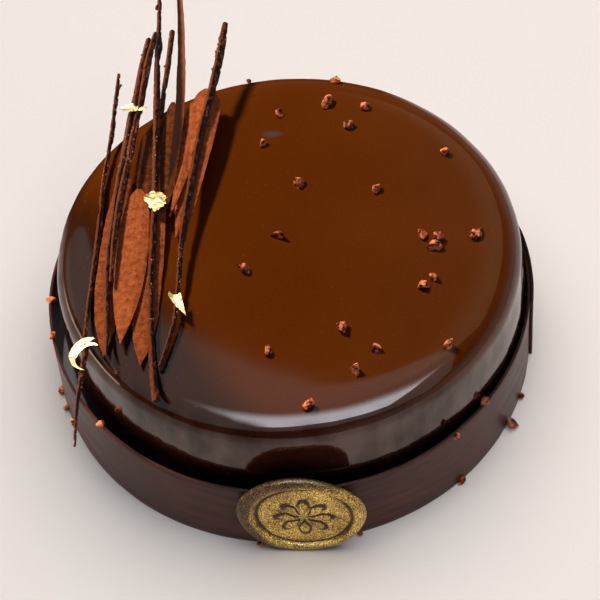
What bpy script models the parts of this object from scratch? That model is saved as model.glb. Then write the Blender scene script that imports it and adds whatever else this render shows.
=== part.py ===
"""Chocolate truffle cake: a mirror-glazed round cake in a loose chocolate band, with a stamped chocolate
seal at the front, a fan of chocolate feathers and twigs on the left, gold leaf and cocoa nibs.

Metres, +Z up. The origin is the centre of the cake's base. The seal faces -Y.
"""

import math
import random

import bmesh
import bpy
from mathutils import Euler, Vector

for old in list(bpy.data.objects):
    bpy.data.objects.remove(old)

MM = 0.001
GAP = 0.3 * MM

# Driving dimensions
CAKE_RADIUS = 80 * MM
CAKE_HEIGHT = 59.5 * MM
SHOULDER = 9 * MM
FOOT = 1.5 * MM
CROWN_DROP = 0.6 * MM

BAND_RADIUS = 83.8 * MM
BAND_HEIGHT = 30.6 * MM
BAND_WALL = 1.0 * MM
BAND_SHIFT = Vector((-1.25 * MM, 0, 0))
BAND_START = 8
BAND_END = -370
BAND_FLARE = 0.5 * MM

SEAL_WIDTH = 43 * MM
SEAL_HEIGHT = 41.2 * MM
SEAL_THICKNESS = 3.1 * MM
SEAL_AHEAD = 84.4 * MM
SEAL_ASIDE = 7.6 * MM
SEAL_TURN = -7
SEAL_STAMP_RADIUS = 16.2 * MM
SEAL_STAMP_SHIFT = Vector((1.1 * MM, 0, -0.4 * MM))
STAMP_SHARE = 2 * SEAL_STAMP_RADIUS / SEAL_WIDTH
FIELD_DEPTH = 0.68
ROSETTE_RELIEF = 0.5 * MM

FEATHER_THICKNESS = 1.3 * MM
FEATHER_EDGE = 0.35
LEAF_THICKNESS = 0.3 * MM
NIB_SIZE = 3.6 * MM

# Each feather: its tip, the middle of its spine and its crown, x, y and height of the spine; its width;
# where the ridge runs, from -1 at the left edge to 1 at the right one; how far along it is widest; and
# how bluntly it widens from the tip. Millimetres.
FEATHERS = {
    "feather_1": ((-63.8, -42.5, 59.6), (-59.5, -7.9, 62.1), (-53.2, 32.8, 63.7), 10.4, 0.1, 0.55, 2.8),
    "feather_2": ((-57.8, -40.6, 62.6), (-53.1, -7.8, 64.1), (-48.9, 22.7, 65.7), 11.2, 0.45, 0.6, 2.6),
    "feather_3": ((-51.6, -48.7, 60.8), (-46.9, -11.0, 62.0), (-41.2, 20.7, 64.2), 9.0, -0.1, 0.3, 2.4),
    "feather_4": ((-40.9, 14.1, 61.9), (-38.0, 36.8, 63.2), (-35.4, 62.7, 64.4), 7.6, -0.3, 0.6, 2.0),
    "feather_5": ((-39.1, 10.9, 63.8), (-32.4, 35.8, 64.5), (-28.9, 60.6, 65.4), 5.6, 0.0, 0.7, 1.8),
    "feather_6": ((-34.5, -1.1, 64.2), (-27.9, 32.3, 66.8), (-22.8, 63.7, 68.6), 11.0, 0.2, 0.85, 1.1),
    "feather_7": ((-47.1, 10.2, 61.0), (-46.5, 32.1, 61.8), (-44.6, 51.1, 62.8), 7.2, 0.1, 0.6, 2.4),
    "feather_8": ((-37.5, 3.4, 61.4), (-34.3, 21.4, 61.9), (-31.0, 41.2, 62.4), 5.0, 0.0, 0.6, 1.8),
}

# Each twig: x, y and thickness along its run from the far end to the near end, and its height at both
# ends. Millimetres.
TWIGS = {
    "twig_1": (
        ((-54.3, 81.0, 0.9), (-55.8, 68.7, 1.3), (-58.1, 50.2, 1.4), (-61.2, 32.2, 1.2), (-63.0, 14.5, 1.6),
         (-65.2, -2.7, 1.5), (-67.6, -19.5, 1.3), (-69.5, -34.3, 1.2), (-69.3, -38.8, 1.6),
         (-70.9, -49.6, 1.4), (-73.0, -63.7, 1.0), (-73.9, -78.0, 0.7)),
        (62.0, 59.8),
    ),
    "twig_2": (
        ((-42.4, 89.7, 1.6), (-44.7, 80.1, 1.9), (-46.5, 71.1, 2.0), (-48.9, 58.5, 2.3), (-50.4, 53.3, 2.2),
         (-53.6, 35.8, 2.1), (-55.7, 26.9, 1.7), (-58.3, 10.4, 1.5), (-60.7, -6.2, 1.6),
         (-61.4, -19.3, 1.8), (-61.9, -34.6, 1.4), (-62.5, -44.5, 1.0)),
        (69.4, 62.3),
    ),
    "twig_3": (
        ((-39.7, 90.8, 1.3), (-42.7, 79.4, 1.8), (-44.6, 69.4, 1.8), (-46.9, 56.9, 1.7), (-50.1, 42.9, 1.8),
         (-51.7, 34.2, 1.8), (-55.4, 17.3, 1.6), (-58.0, 0.6, 1.4), (-59.8, -16.7, 1.0)),
        (71.0, 65.4),
    ),
    "twig_4": (
        ((-37.2, 115.7, 1.4), (-38.3, 99.2, 1.3), (-38.8, 91.6, 1.6), (-39.1, 85.5, 2.2), (-39.8, 80.4, 1.7),
         (-40.9, 61.9, 2.0), (-42.0, 43.9, 1.9), (-43.4, 22.0, 1.9), (-45.0, 2.1, 1.8), (-46.8, -17.7, 1.6),
         (-47.5, -40.0, 1.7), (-47.4, -55.8, 2.1), (-47.0, -64.0, 2.1)),
        (70.0, 60.8),
    ),
    "twig_5": (
        ((-34.0, 95.5, 1.2), (-36.2, 80.0, 1.2), (-38.5, 66.2, 1.1), (-39.9, 55.3, 1.0)),
        (66.4, 64.8),
    ),
    "twig_6": (
        ((-14.6, 89.9, 1.6), (-16.5, 80.5, 2.6), (-19.2, 68.7, 2.8), (-21.5, 59.7, 2.5), (-26.1, 43.6, 2.2),
         (-29.7, 27.0, 2.2), (-33.2, 10.6, 2.2), (-35.9, -4.3, 1.8), (-37.5, -19.0, 1.5),
         (-39.8, -33.8, 1.4), (-43.9, -46.8, 1.4), (-45.3, -50.5, 1.2)),
        (73.6, 61.0),
    ),
}

# The broad blade among the twigs, in the same form as a feather
BLADE = ((-38.8, 23.2, 66.2), (-32.5, 61.9, 68.4), (-30.3, 114.8, 70.6), 4.0, 0.2)

# Gold leaf: its middle x, y and height, length and width, turn about Z in degrees, and how far it
# curls into an arc, in degrees. Millimetres.
GOLD_LEAVES = {
    "gold_leaf_1": ((-49.2, 56.0, 70.6), (8.6, 3.4), 8, 0),
    "gold_leaf_2": ((-43.2, 16.2, 66.9), (8.4, 7.4), -70, 0),
    "gold_leaf_3": ((-38.1, -27.5, 64.8), (9.4, 3.8), -62, 0),
    "gold_leaf_4": ((-73.2, -42.6, 61.6), (17.5, 2.6), 76, -150),
}

# Cocoa nibs on the glaze: x and y of the whole ones, then of the two crumbs at the shoulder. Millimetres.
GLAZE_NIBS = (
    (22.3, 71.5), (18.6, 58.8), (31.5, 56.2), (25.8, 48.3), (1.4, 56.7), (-5.2, 43.3), (57.3, 31.2),
    (5.9, 22.9), (32.4, 17.8), (-3.0, 1.1), (-15.0, -12.6), (45.9, -4.9), (50.4, -6.3), (48.3, -10.3),
    (64.0, -6.3), (47.2, -22.9), (43.9, -26.4), (15.4, -41.8), (-9.7, -47.5), (25.1, -50.8),
    (18.1, -58.9), (49.0, -51.5), (1.7, -69.7),
)
SMALL_GLAZE_NIBS = ((-8.2, 76.0), (-59.9, -47.7))

# Nibs on the band: the direction from the cake's centre in degrees, the height, how far the middle
# stands proud of the band's outer face, and the size. Millimetres.
BAND_NIBS = (
    (176.4, 31.3, -0.6, 3.0), (187.1, 31.3, -0.5, 3.2), (216.5, 31.4, -0.7, 3.4), (318.6, 31.1, -0.6, 3.4),
    (307.3, 28.1, 0.3, 2.6), (328.4, 2.2, 1.2, 4.4), (336.8, 1.4, 0.6, 2.2), (308.8, 1.4, 0.6, 2.4),
    (188.2, 2.0, 1.0, 3.8), (193.3, 1.7, 1.0, 3.2), (198.1, 1.4, 0.7, 2.4), (258.2, 1.2, 1.0, 2.9),
    (281.0, 1.1, 0.8, 2.0),
)


def new_collection(name):
    collection = bpy.data.collections.new(name)
    bpy.context.scene.collection.children.link(collection)
    return collection


CAKE_PARTS = new_collection("chocolate_truffle_cake")


def material(name, colour, roughness, metallic=0.0, coat=0.0):
    made = bpy.data.materials.new(name)
    made.use_nodes = True
    shader = made.node_tree.nodes["Principled BSDF"]
    shader.inputs["Base Color"].default_value = (*colour, 1)
    shader.inputs["Roughness"].default_value = roughness
    shader.inputs["Metallic"].default_value = metallic
    shader.inputs["Coat Weight"].default_value = coat
    made.diffuse_color = (*colour, 1)
    return made


MIRROR_GLAZE = material("mirror_glaze", (0.085, 0.026, 0.006), 0.06, coat=1.0)
BAND_CHOCOLATE = material("band_chocolate", (0.035, 0.016, 0.011), 0.38)
FEATHER_CHOCOLATE = material("feather_chocolate", (0.26, 0.075, 0.030), 0.62)
TWIG_CHOCOLATE = material("twig_chocolate", (0.065, 0.020, 0.012), 0.45)
GOLD_DUST = material("gold_dusted_chocolate", (0.23, 0.14, 0.03), 0.42, metallic=0.6)
GOLD_LEAF = material("gold_leaf", (0.95, 0.70, 0.27), 0.28, metallic=1.0)


def add_object(name, mesh, finish, collection=CAKE_PARTS):
    made = bpy.data.objects.new(name, mesh)
    made.data.materials.append(finish)
    collection.objects.link(made)
    return made


def mesh_from(name, bm):
    mesh = bpy.data.meshes.new(name)
    bm.to_mesh(mesh)
    bm.free()
    return mesh


def apply_modifiers(made):
    bpy.ops.object.select_all(action="DESELECT")
    bpy.context.view_layer.objects.active = made
    made.select_set(True)
    for modifier in list(made.modifiers):
        bpy.ops.object.modifier_apply(modifier=modifier.name)


def millimetres(numbers):
    return Vector(numbers) * MM


# The glazed cake: one turned body with a faintly domed top and a soft shoulder


def glaze_height(radius):
    """The height of the glaze over the table at this distance from the axis."""
    flat = CAKE_RADIUS - SHOULDER
    if radius <= flat:
        return CAKE_HEIGHT - CROWN_DROP * (radius / flat) ** 4
    across = min(radius - flat, SHOULDER)
    return CAKE_HEIGHT - CROWN_DROP - SHOULDER + math.sqrt(SHOULDER**2 - across**2)


def cake_profile():
    """From the middle of the top, over the shoulder and down the side to the middle of the base."""
    flat = CAKE_RADIUS - SHOULDER
    points = [(share * flat, glaze_height(share * flat)) for share in (0, 0.45, 0.75, 0.9)]
    for step in range(7):
        turn = math.radians(90 * step / 6)
        radius = flat + SHOULDER * math.sin(turn)
        height = CAKE_HEIGHT - CROWN_DROP - SHOULDER * (1 - math.cos(turn))
        points.append((radius, height))
    points += [(CAKE_RADIUS, FOOT), (CAKE_RADIUS - FOOT, 0), (0, 0)]
    return [(radius, 0, height) for radius, height in points]


def turned(name, profile, finish, steps):
    mesh = bpy.data.meshes.new(name)
    mesh.from_pydata(profile, [(i, i + 1) for i in range(len(profile) - 1)], [])
    made = add_object(name, mesh, finish)
    screw = made.modifiers.new("Screw", "SCREW")
    screw.steps = screw.render_steps = steps
    screw.use_merge_vertices = True
    screw.merge_threshold = 0.0001
    return made


# Cocoa nibs: small angular chips, joined to what they lie on


def nib_mesh(size, dice):
    bm = bmesh.new()
    bmesh.ops.create_icosphere(bm, subdivisions=1, radius=size / 2)
    turn = Euler([dice.uniform(0, math.tau) for _ in range(3)]).to_matrix()
    long, broad = dice.uniform(1.0, 1.25), dice.uniform(0.7, 0.9)
    for vert in bm.verts:
        vert.co *= dice.uniform(0.75, 1.2)
        vert.co = turn @ Vector((vert.co.x * long, vert.co.y * broad, vert.co.z * broad))
    return mesh_from("nib", bm)


def fuse(body, nibs):
    """Joins the nibs to the body as one solid and removes them."""
    union = body.modifiers.new("Union", "BOOLEAN")
    union.operation = "UNION"
    union.operand_type = "COLLECTION"
    union.collection = nibs
    union.solver = "EXACT"
    apply_modifiers(body)
    for nib in list(nibs.objects):
        bpy.data.objects.remove(nib)
    bpy.data.collections.remove(nibs)


def place_nib(nibs, place, size, finish, dice):
    """Puts a nib here, or standing on the table where this place would sink it."""
    nib = add_object("nib", nib_mesh(size, dice), finish, nibs)
    lowest = min(vert.co.z for vert in nib.data.vertices)
    nib.location = (place[0], place[1], max(place[2], GAP - lowest))


cake = turned("cake", cake_profile(), MIRROR_GLAZE, 72)
glaze_nibs = new_collection("glaze_nibs")
dice = random.Random(7)
for x, y in GLAZE_NIBS + SMALL_GLAZE_NIBS:
    size = NIB_SIZE * (0.55 if (x, y) in SMALL_GLAZE_NIBS else dice.uniform(0.9, 1.1))
    radius = math.hypot(x, y) * MM
    place = (x * MM, y * MM, glaze_height(radius) + 0.2 * size)
    place_nib(glaze_nibs, place, size, MIRROR_GLAZE, dice)
fuse(cake, glaze_nibs)


# The band: a long strip bent round the cake, its free end lapped over its start on the right


def band_radius(degrees):
    """The outer face's distance from the band's own centre, with its slow waves and its flared lap."""
    turn = math.radians(degrees)
    waves = 0.25 * MM * math.sin(3 * turn + 0.6) + 0.15 * MM * math.sin(5 * turn)
    lap = min(max((-335 - degrees) / 14, 0), 1)
    flare = min(max((-352 - degrees) / 18, 0), 1)
    return BAND_RADIUS + waves + lap * (BAND_WALL + 2 * GAP) + flare * BAND_FLARE


def band_top(degrees):
    """The height of the hand-cut upper edge."""
    turn = math.radians(degrees)
    return BAND_HEIGHT + 0.3 * MM * math.sin(2 * turn + 1) + 0.2 * MM * math.sin(7 * turn)


def bent_strip(along, up):
    bm = bmesh.new()
    bmesh.ops.create_grid(bm, x_segments=along, y_segments=up, size=1)
    for vert in bm.verts:
        degrees = BAND_START + (BAND_END - BAND_START) * (vert.co.x + 1) / 2
        height = band_top(degrees) * (vert.co.y + 1) / 2
        radius = band_radius(degrees)
        turn = math.radians(degrees)
        vert.co = Vector((radius * math.cos(turn), radius * math.sin(turn), height)) + BAND_SHIFT
    return mesh_from("band", bm)


band = add_object("chocolate_band", bent_strip(108, 2), BAND_CHOCOLATE)
wall = band.modifiers.new("Wall", "SOLIDIFY")
wall.thickness = BAND_WALL
wall.offset = 1
apply_modifiers(band)

band_nibs = new_collection("band_nibs")
dice = random.Random(11)
for degrees, height, proud, size in BAND_NIBS:
    radius = band_radius(degrees - 360) + proud * MM
    turn = math.radians(degrees)
    place = Vector((radius * math.cos(turn), radius * math.sin(turn), height * MM)) + BAND_SHIFT
    place_nib(band_nibs, place, size * MM, BAND_CHOCOLATE, dice)
fuse(band, band_nibs)


# The seal: a disc of chocolate pressed flat while soft, so that a low rim stands round the stamped field


def petals(across, up):
    """How far the eight-petalled rosette stands out of the stamped field here, from 0 to 1."""
    reach = math.hypot(across, up) / SEAL_STAMP_RADIUS
    turn = math.atan2(up, across)
    inside = 0.72 * abs(math.cos(4 * turn)) - abs(reach - 0.36) / 0.42
    return min(max(3 * inside, 0), 1)


def seal_profile():
    """Shares of the outline's half width, each with the share of the thickness that the face has there."""
    field = [(share * STAMP_SHARE, FIELD_DEPTH) for share in (0, 0.12, 0.24, 0.36, 0.48, 0.6, 0.72, 0.9)]
    groove = [(0.98 * STAMP_SHARE, 0.52)]
    rim = [(1.06 * STAMP_SHARE, 0.92), (0.9, 1.0), (0.97, 0.84), (1.0, 0.5), (0.97, 0.14)]
    return field + groove + rim + [(0.93, 0), (0, 0)]


def seal_point(share, turn, depth):
    """Where a point of the turned disc lies on the seal, whose rim is oval round a round field."""
    outwards = min(max((share - STAMP_SHARE) / (0.9 - STAMP_SHARE), 0), 1)
    uneven = 1 + 0.012 * math.sin(3 * turn + 1) + 0.010 * math.sin(5 * turn)
    across = share * math.cos(turn) * SEAL_WIDTH / 2 * uneven
    squeeze = 1 + (SEAL_HEIGHT / SEAL_WIDTH - 1) * outwards
    up = share * math.sin(turn) * SEAL_WIDTH / 2 * squeeze * uneven
    relief = ROSETTE_RELIEF * petals(across, up) if abs(depth - FIELD_DEPTH) < 0.01 else 0
    return Vector((across, -SEAL_THICKNESS * depth - relief, up)) + SEAL_STAMP_SHIFT * (1 - outwards)


seal = turned("seal", [(share, 0, depth) for share, depth in seal_profile()], GOLD_DUST, 56)
apply_modifiers(seal)
for vert in seal.data.vertices:
    vert.co = seal_point(math.hypot(vert.co.x, vert.co.y), math.atan2(vert.co.y, vert.co.x), vert.co.z)
lowest = min(vert.co.z for vert in seal.data.vertices)
seal_turn = Euler((0, 0, math.radians(SEAL_TURN))).to_matrix()
for vert in seal.data.vertices:
    vert.co = seal_turn @ (vert.co + Vector((SEAL_ASIDE, -SEAL_AHEAD, -lowest))) + BAND_SHIFT


# Feathers: thin leaves of chocolate pulled off a knife, ridged along the middle and pointed at the tip


def spine_point(tip, middle, crown, along):
    """The point that lies this share of the way along a smooth curve through the three points."""
    pull = 2 * middle - (tip + crown) / 2
    return tip * (1 - along) ** 2 + pull * 2 * along * (1 - along) + crown * along**2


def feather_share(along, widest, bluntness):
    """The width at this share of the length, pointed at 0 and round at 1, as a share of the widest."""
    if along < widest:
        return max(1 - (1 - along / widest) ** bluntness, 0.06)
    return max(math.sqrt(1 - ((along - widest) / (1 - widest)) ** 2), 0.16)


def blade_share(along):
    """The width of the blade, which narrows slowly towards its far end."""
    return max((1 - (1 - along) ** 6) * (1 - 0.52 * along**2.2), 0.1)


def leaf_of_chocolate(name, spine, finish, share_of, arch, segments):
    tip, middle, crown = (millimetres(point) for point in spine[:3])
    half = spine[3] * MM / 2
    ridge = spine[4]
    bm = bmesh.new()
    bmesh.ops.create_grid(bm, x_segments=segments[0], y_segments=segments[1], size=1)
    edge_weights = []
    for vert in bm.verts:
        along, side = (vert.co.x + 1) / 2, -vert.co.y
        share = share_of(along, *spine[5:])
        on_spine = spine_point(tip, middle, crown, along)
        ahead = spine_point(tip, middle, crown, along + 0.01) - spine_point(tip, middle, crown, along - 0.01)
        across = Vector((ahead.y, -ahead.x, 0)).normalized()
        off_ridge = abs(side - ridge) / (1 - ridge if side > ridge else 1 + ridge)
        fall = arch * share**2 * off_ridge**1.6
        vert.co = on_spine + across * side * half * share - Vector((0, 0, fall))
        edge_weights.append((1 - off_ridge**1.5) * min(share * half / FEATHER_THICKNESS, 1))
    bmesh.ops.recalc_face_normals(bm, faces=bm.faces)
    if sum(face.normal.z for face in bm.faces) < 0:
        bmesh.ops.reverse_faces(bm, faces=bm.faces)
    made = add_object(name, mesh_from(name, bm), finish)
    body = made.vertex_groups.new(name="body")
    for index, weight in enumerate(edge_weights):
        body.add([index], weight, "REPLACE")
    thickness = made.modifiers.new("Thickness", "SOLIDIFY")
    thickness.thickness = FEATHER_THICKNESS
    thickness.offset = -1
    thickness.vertex_group = body.name
    thickness.thickness_vertex_group = FEATHER_EDGE
    return made


for name, spine in FEATHERS.items():
    leaf_of_chocolate(name, spine, FEATHER_CHOCOLATE, feather_share, 1.1 * MM, (12, 6))
leaf_of_chocolate("blade", BLADE, TWIG_CHOCOLATE, blade_share, 0.6 * MM, (14, 4))


# Twigs: piped rods of dark chocolate, uneven in thickness and broken off at the ends


def smooth_run(points, steps):
    """Points along a smooth curve through all the given ones."""
    ends = [points[0]] + list(points) + [points[-1]]
    run = []
    for i in range(1, len(ends) - 2):
        before, start, end, after = ends[i - 1 : i + 3]
        for step in range(steps):
            t = step / steps
            run.append(
                0.5 * (2 * start + (end - before) * t + (2 * before - 5 * start + 4 * end - after) * t * t
                       + (3 * start - before - 3 * end + after) * t**3)
            )
    return run + [points[-1]]


def twig(name, run, heights, dice):
    far, near = run[0][:2], run[-1][:2]
    length = math.dist(far, near)
    points = [
        Vector((x, y, heights[0] + (heights[1] - heights[0]) * math.dist(far, (x, y)) / length, thickness))
        for x, y, thickness in run
    ]
    curve = bpy.data.curves.new(name, "CURVE")
    curve.dimensions = "3D"
    curve.bevel_depth = MM / 2
    curve.bevel_resolution = 1
    curve.use_fill_caps = True
    path = smooth_run(points, 2)
    spline = curve.splines.new("POLY")
    spline.points.add(len(path) - 1)
    for point, place in zip(spline.points, path):
        point.co = (place.x * MM, place.y * MM, place.z * MM, 1)
        point.radius = place.w * dice.uniform(0.9, 1.08)
    add_object(name, curve, TWIG_CHOCOLATE)


dice = random.Random(23)
for name, (run, heights) in TWIGS.items():
    twig(name, run, heights, dice)


# Gold leaf: crumpled scraps, lying on the twigs


def gold_leaf(name, centre, size, degrees, curl, dice):
    length, width = size[0] * MM, size[1] * MM
    turn = Euler((0, 0, math.radians(degrees))).to_matrix()
    phase = dice.uniform(0, math.tau)
    bm = bmesh.new()
    bmesh.ops.create_grid(bm, x_segments=10, y_segments=4, size=1)
    for vert in bm.verts:
        along, side = vert.co.x, vert.co.y
        share = math.sqrt(1 - 0.9 * along**2) * dice.uniform(0.85, 1.05)
        across = side * share * width / 2
        crumple = 0.22 * MM * (math.sin(5 * along + phase) + math.cos(4 * side + 3 * along))
        if curl:
            bend = math.radians(curl) * along / 2
            reach = length / math.radians(curl)
            place = Vector((math.sin(bend) * (reach - across), reach - math.cos(bend) * (reach - across), crumple))
        else:
            place = Vector((along * length / 2, across, crumple))
        vert.co = turn @ place + millimetres(centre)
    made = add_object(name, mesh_from(name, bm), GOLD_LEAF)
    thickness = made.modifiers.new("Thickness", "SOLIDIFY")
    thickness.thickness = LEAF_THICKNESS
    thickness.offset = 1


dice = random.Random(5)
for name, (centre, size, degrees, curl) in GOLD_LEAVES.items():
    gold_leaf(name, centre, size, degrees, curl, dice)

for made in CAKE_PARTS.objects:
    if made.type == "MESH":
        made.data.shade_smooth()
        made.data.set_sharp_from_angle(angle=math.radians(40))
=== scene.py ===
"""A mirror-glazed chocolate truffle cake in a loose chocolate band, with a stamped seal, a fan of chocolate
feathers and twigs, gold leaf and cocoa nibs. Metres, +Z up; the seal faces -Y.
"""

import math
import random

import bpy
from mathutils import Euler, Matrix, Vector, noise


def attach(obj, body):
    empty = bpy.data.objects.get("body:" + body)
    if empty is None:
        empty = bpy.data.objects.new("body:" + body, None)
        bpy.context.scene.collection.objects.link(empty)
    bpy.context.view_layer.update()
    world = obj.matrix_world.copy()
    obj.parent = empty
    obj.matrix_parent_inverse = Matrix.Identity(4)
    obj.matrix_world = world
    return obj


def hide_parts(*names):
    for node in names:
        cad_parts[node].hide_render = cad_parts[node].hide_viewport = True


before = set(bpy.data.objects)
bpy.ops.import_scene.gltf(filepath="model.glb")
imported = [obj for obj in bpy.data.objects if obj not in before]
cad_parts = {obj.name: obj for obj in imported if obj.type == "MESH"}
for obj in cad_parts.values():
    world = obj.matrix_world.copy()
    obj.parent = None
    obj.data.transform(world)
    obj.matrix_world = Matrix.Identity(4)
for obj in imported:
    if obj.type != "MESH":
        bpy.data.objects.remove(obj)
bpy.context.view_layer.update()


# The view and the table. The cake is looked down on from the front, and stands on a plain pale table.


def clear_selection():
    """Deselects everything, so that the next operator acts on the new piece alone."""
    bpy.ops.object.select_all(action="DESELECT")


VIEW_FROM = (0.0001, -0.5398, 0.7127)
VIEW_DOWN, VIEW_TURN, VIEW_ROLL = 51.88, -0.25, -5.29

clear_selection()
bpy.ops.object.camera_add(location=VIEW_FROM)
camera = bpy.context.object
camera.name = "camera"
camera.matrix_world = (
    Matrix.Translation(VIEW_FROM)
    @ Matrix.Rotation(math.radians(VIEW_TURN), 4, "Z")
    @ Matrix.Rotation(math.radians(90 - VIEW_DOWN), 4, "X")
    @ Matrix.Rotation(math.radians(VIEW_ROLL), 4, "Z")
)
camera.data.lens = 150
camera.data.sensor_width = 36
camera.data.clip_start = 0.01
bpy.context.scene.camera = camera
bpy.context.scene.view_settings.view_transform = "Standard"

bpy.ops.mesh.primitive_plane_add(size=6, location=(0, 0, 0))
table_top = bpy.context.object
table_top.name = "table_top"


def new_finish(name, roughness, metallic=0.0):
    """A new material, its node tree and its shader."""
    made = bpy.data.materials.new(name)
    made.use_nodes = True
    shader = made.node_tree.nodes["Principled BSDF"]
    shader.inputs["Roughness"].default_value = roughness
    shader.inputs["Metallic"].default_value = metallic
    return made, made.node_tree, shader


painted_table, tree, shader = new_finish("painted_table", 0.7)
shader.inputs["Base Color"].default_value = (0.742, 0.668, 0.622, 1)
table_top.data.materials.append(painted_table)


# The light. One small softbox at the back left is the key, and a broad one overhead fills the shadows. Cards
# that only show in gloss give the glaze something to mirror. The room is dark above and at the left.


def add_node(tree, kind, inputs, **settings):
    """Adds a shader node whose inputs take these values or sockets, and gives back its outputs."""
    node = tree.nodes.new("ShaderNode" + kind)
    for name, value in settings.items():
        setattr(node, name, value)
    for name, value in inputs.items():
        if isinstance(value, bpy.types.NodeSocket):
            tree.links.new(value, node.inputs[name])
        else:
            node.inputs[name].default_value = value
    return node.outputs


def graded(tree, value, start, end, low=0.0, high=1.0, ease="SMOOTHSTEP"):
    """Grades the value, from low where it is at start to high where it is at end."""
    inputs = {"Value": value, "From Min": start, "From Max": end, "To Min": low, "To Max": high}
    return add_node(tree, "MapRange", inputs, interpolation_type=ease)["Result"]


def worked_out(tree, operation, *values):
    """Works the values out together."""
    return add_node(tree, "Math", dict(enumerate(values)), operation=operation)["Value"]


room = bpy.data.worlds.new("dim_room")
bpy.context.scene.world = room
room.use_nodes = True
tree = room.node_tree
around = add_node(tree, "TexCoord", {})
ways = add_node(tree, "SeparateXYZ", {"Vector": around["Generated"]})
height = graded(tree, ways["Z"], 0.10, 0.62, low=0.56, high=0.045)
sideways = graded(tree, ways["X"], -0.1, 0.9, low=0.14, high=1.0, ease="LINEAR")
background = tree.nodes["Background"]
background.inputs["Color"].default_value = (0.95, 0.84, 0.76, 1)
tree.links.new(worked_out(tree, "MULTIPLY", height, sideways), background.inputs["Strength"])


def hang_light(name, place, aim, size, power, tint):
    """A flat rectangular light at this place, facing the aim."""
    bpy.ops.object.light_add(type="AREA", location=place)
    lamp = bpy.context.object
    lamp.name = name
    lamp.data.shape = "RECTANGLE"
    lamp.data.size, lamp.data.size_y = size
    lamp.data.energy = power
    lamp.data.color = tint
    lamp.rotation_euler = (Vector(aim) - Vector(place)).to_track_quat("-Z", "Y").to_euler()
    lamp.visible_camera = False
    return lamp


def hang_card(name, corners, tint, strength, fade=None):
    """A glowing card with these corners that only gloss can see, which may fade towards some of its sides."""
    clear_selection()
    bpy.ops.mesh.primitive_plane_add(size=2, location=(0, 0, 0))
    card = bpy.context.object
    card.name = name
    for vert, corner in zip(card.data.vertices, corners):
        vert.co = corner
    card.visible_camera = card.visible_diffuse = card.visible_shadow = card.visible_transmission = False
    made = bpy.data.materials.new(name)
    made.use_nodes = True
    tree = made.node_tree
    tree.nodes.remove(tree.nodes["Principled BSDF"])
    sides = add_node(tree, "SeparateXYZ", {"Vector": add_node(tree, "TexCoord", {})["UV"]})
    level = strength
    for axis, (start, end) in (fade or {}).items():
        level = worked_out(tree, "MULTIPLY", level, graded(tree, sides[axis], start, end))
    glow = add_node(tree, "Emission", {"Color": (*tint, 1), "Strength": level})
    clear = add_node(tree, "BsdfTransparent", {})
    added = add_node(tree, "AddShader", {0: clear["BSDF"], 1: glow["Emission"]})
    tree.links.new(added["Shader"], tree.nodes["Material Output"].inputs["Surface"])
    card.data.materials.append(made)


def light_only(lamp, pieces, state="INCLUDE"):
    """Lets the lamp light these pieces alone, or all but these."""
    lit = bpy.data.collections.new(lamp.name + "_reach")
    for piece in pieces:
        lit.objects.link(piece)
    for member in lit.collection_objects:
        member.light_linking.link_state = state
    lamp.light_linking.receiver_collection = lit


key = hang_light("key_softbox", (-0.58, 0.58, 1.06), (0, 0, 0.06), (0.16, 0.16), 20.5, (1.0, 0.965, 0.93))
key.visible_glossy = False
light_only(key, [table_top], "EXCLUDE")
fill = hang_light(
    "overhead_softbox", (0.10, -0.10, 1.4), (0.10, -0.10, 0), (1.2, 1.2), 2.6, (1.0, 0.92, 0.85)
)
fill.visible_glossy = False
table_light = hang_light(
    "table_softbox", (0.15, 0.40, 1.6), (0.05, 0, 0), (2.2, 2.2), 49, (1.0, 0.985, 0.975)
)
table_light.visible_glossy = False
light_only(table_light, [table_top])
hang_card("white_reflector", ((-0.42, -0.85, 1.0), (0.64, -0.85, 1.0), (-0.42, 0.17, 1.0), (0.60, 0.01, 1.0)),
          (0.80, 1.17, 1.52), 7.6, {"X": (0.0, 0.22), "Y": (1.0, 0.60)})
hang_card("grey_ceiling", ((-3.0, -1.6, 1.02), (2.2, -1.6, 1.02), (-3.0, 3.05, 1.02), (1.6, -0.72, 1.02)),
          (0.62, 1.13, 1.40), 0.57)
hang_card("right_veil", ((0.0, 0.2, 1.04), (0.9, 0.2, 1.04), (0.0, 1.7, 1.04), (0.9, 1.7, 1.04)),
          (1.0, 1.04, 0.69), 0.40, {"X": (0.0, 0.55)})
hang_card("left_card", ((-1.5, 0.55, 0.22), (-0.7, 1.2, 0.22), (-1.5, 0.55, 0.95), (-0.7, 1.2, 0.95)),
          (1.0, 0.82, 0.58), 0.22, {"Y": (1.0, 0.5)})
hang_card("left_sill", ((-1.25, -0.30, 0.0), (-0.90, 0.72, 0.0), (-1.25, -0.30, 0.13), (-0.90, 0.72, 0.13)),
          (1.0, 0.84, 0.66), 4.8, {"X": (1.0, 0.55)})


# The glazed cake: a frozen round of mousse and ganache with dark mirror glaze poured over it. The glaze is
# level on top, rolls softly over the edge and runs down the side in slow waves.

CAKE_RADIUS = 0.080
CAKE_HEIGHT = 0.0595
SHOULDER = 0.009
CROWN_DROP = 0.0006
FOOT = 0.0015
ROLL_START = 0.062
ROLL_POWER = 3.5
# The waves of the side, its lean towards the top, and how much fuller it is low down on the right, each as a
# share of the radius.
SLOW_WAVES, RUNNING_WAVES, FINE_WAVES = 0.0026, 0.0022, 0.0008
SIDE_LEAN, FULLER_RIGHT = 0.0060, 0.008


def pick(piece):
    """Selects the piece alone."""
    clear_selection()
    bpy.context.view_layer.objects.active = piece
    piece.select_set(True)


def finish_modifiers(piece):
    """Applies the piece's modifiers in their order."""
    pick(piece)
    for modifier in list(piece.modifiers):
        bpy.ops.object.modifier_apply(modifier=modifier.name)


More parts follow.
